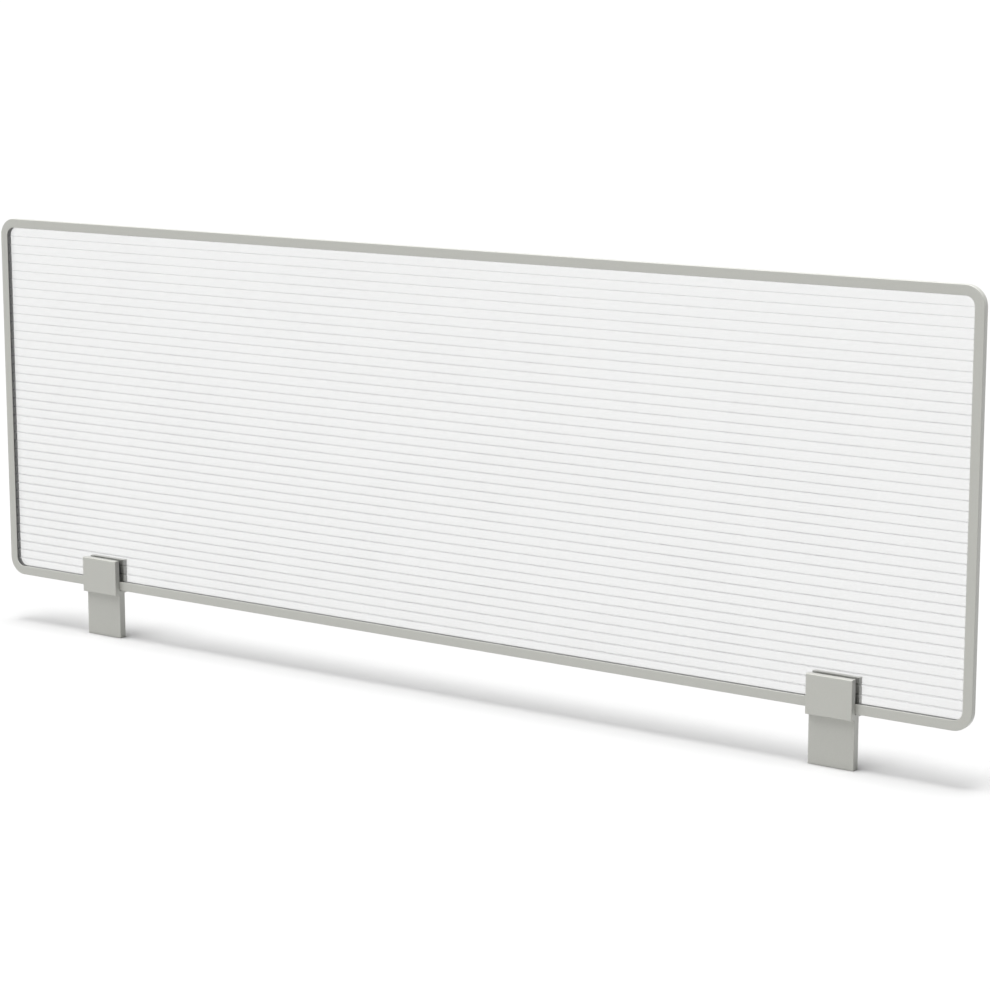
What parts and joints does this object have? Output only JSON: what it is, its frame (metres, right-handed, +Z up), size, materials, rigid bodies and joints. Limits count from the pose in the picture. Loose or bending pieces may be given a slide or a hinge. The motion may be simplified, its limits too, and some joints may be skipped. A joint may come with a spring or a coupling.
{
  "type": "desk privacy panel",
  "caption": "Clear ribbed screen in a slim rounded metal frame, held by sliding clamp brackets whose flat legs bolt to a desk's rear edge.",
  "frame": {"origin": "on the surface under the legs, at the middle of the panel's length and thickness", "axes": "+Z up, +X along the panel's length, +Y through its thickness towards the desk"},
  "size_m": [1.3716, 0.0224, 0.5189],
  "materials": {
    "sheet": "clear twin-wall polycarbonate, glossy skins",
    "frame_finish": "satin grey powder coat",
    "clamp_finish": "satin grey powder coat on extruded aluminium and bar",
    "steel": "zinc-plated",
    "black_steel": "black oxide",
    "rubber": "matt, moulded"
  },
  "bodies": {
    "panel": {"twin_wall_sheet": "sheet", "frame_channel": "frame_finish", "frame_splice": "steel"},
    "left_bracket": {"left_clamp_channel": "clamp_finish", "left_leg_bar": "clamp_finish", "left_leg_screws": "steel", "left_rail_rest": "rubber", "left_front_liner": "rubber"},
    "left_pressure": {"left_pressure_plate": "steel", "left_pressure_pad": "rubber"},
    "left_screw_a": {"left_set_screw_a": "black_steel"},
    "left_screw_b": {"left_set_screw_b": "black_steel"},
    "right_bracket": {"right_clamp_channel": "clamp_finish", "right_leg_bar": "clamp_finish", "right_leg_screws": "steel", "right_rail_rest": "rubber", "right_front_liner": "rubber"},
    "right_pressure": {"right_pressure_plate": "steel", "right_pressure_pad": "rubber"},
    "right_screw_a": {"right_set_screw_a": "black_steel"},
    "right_screw_b": {"right_set_screw_b": "black_steel"}
  },
  "joints": [
    {"name": "left_bracket_slide", "type": "slide", "parent": "panel", "child": "left_bracket", "axis": [1, 0, 0], "range_m": [-0.1, 0.48]},
    {"name": "left_pressure_slide", "type": "slide", "parent": "left_bracket", "child": "left_pressure", "axis": [0, 1, 0], "range_m": [0, 0.0016]},
    {"name": "left_screw_a_turn", "type": "hinge", "parent": "left_pressure", "child": "left_screw_a", "pos_m": [-0.5374, 0, 0.0861], "axis": [0, 1, 0], "range_deg": [0, 720]},
    {"name": "left_screw_b_turn", "type": "hinge", "parent": "left_pressure", "child": "left_screw_b", "pos_m": [-0.5094, 0, 0.0861], "axis": [0, 1, 0], "range_deg": [0, 720]},
    {"name": "right_bracket_slide", "type": "slide", "parent": "panel", "child": "right_bracket", "axis": [-1, 0, 0], "range_m": [-0.1, 0.48]},
    {"name": "right_pressure_slide", "type": "slide", "parent": "right_bracket", "child": "right_pressure", "axis": [0, 1, 0], "range_m": [0, 0.0016]},
    {"name": "right_screw_a_turn", "type": "hinge", "parent": "right_pressure", "child": "right_screw_a", "pos_m": [0.5094, 0, 0.0861], "axis": [0, 1, 0], "range_deg": [0, 720]},
    {"name": "right_screw_b_turn", "type": "hinge", "parent": "right_pressure", "child": "right_screw_b", "pos_m": [0.5374, 0, 0.0861], "axis": [0, 1, 0], "range_deg": [0, 720]}
  ],
  "couplings": [
    {"joint": "left_screw_a_turn", "follows": "left_pressure_slide", "rad_per_m": 7854},
    {"joint": "left_screw_b_turn", "follows": "left_pressure_slide", "rad_per_m": 7854},
    {"joint": "right_screw_a_turn", "follows": "right_pressure_slide", "rad_per_m": 7854},
    {"joint": "right_screw_b_turn", "follows": "right_pressure_slide", "rad_per_m": 7854}
  ]
}
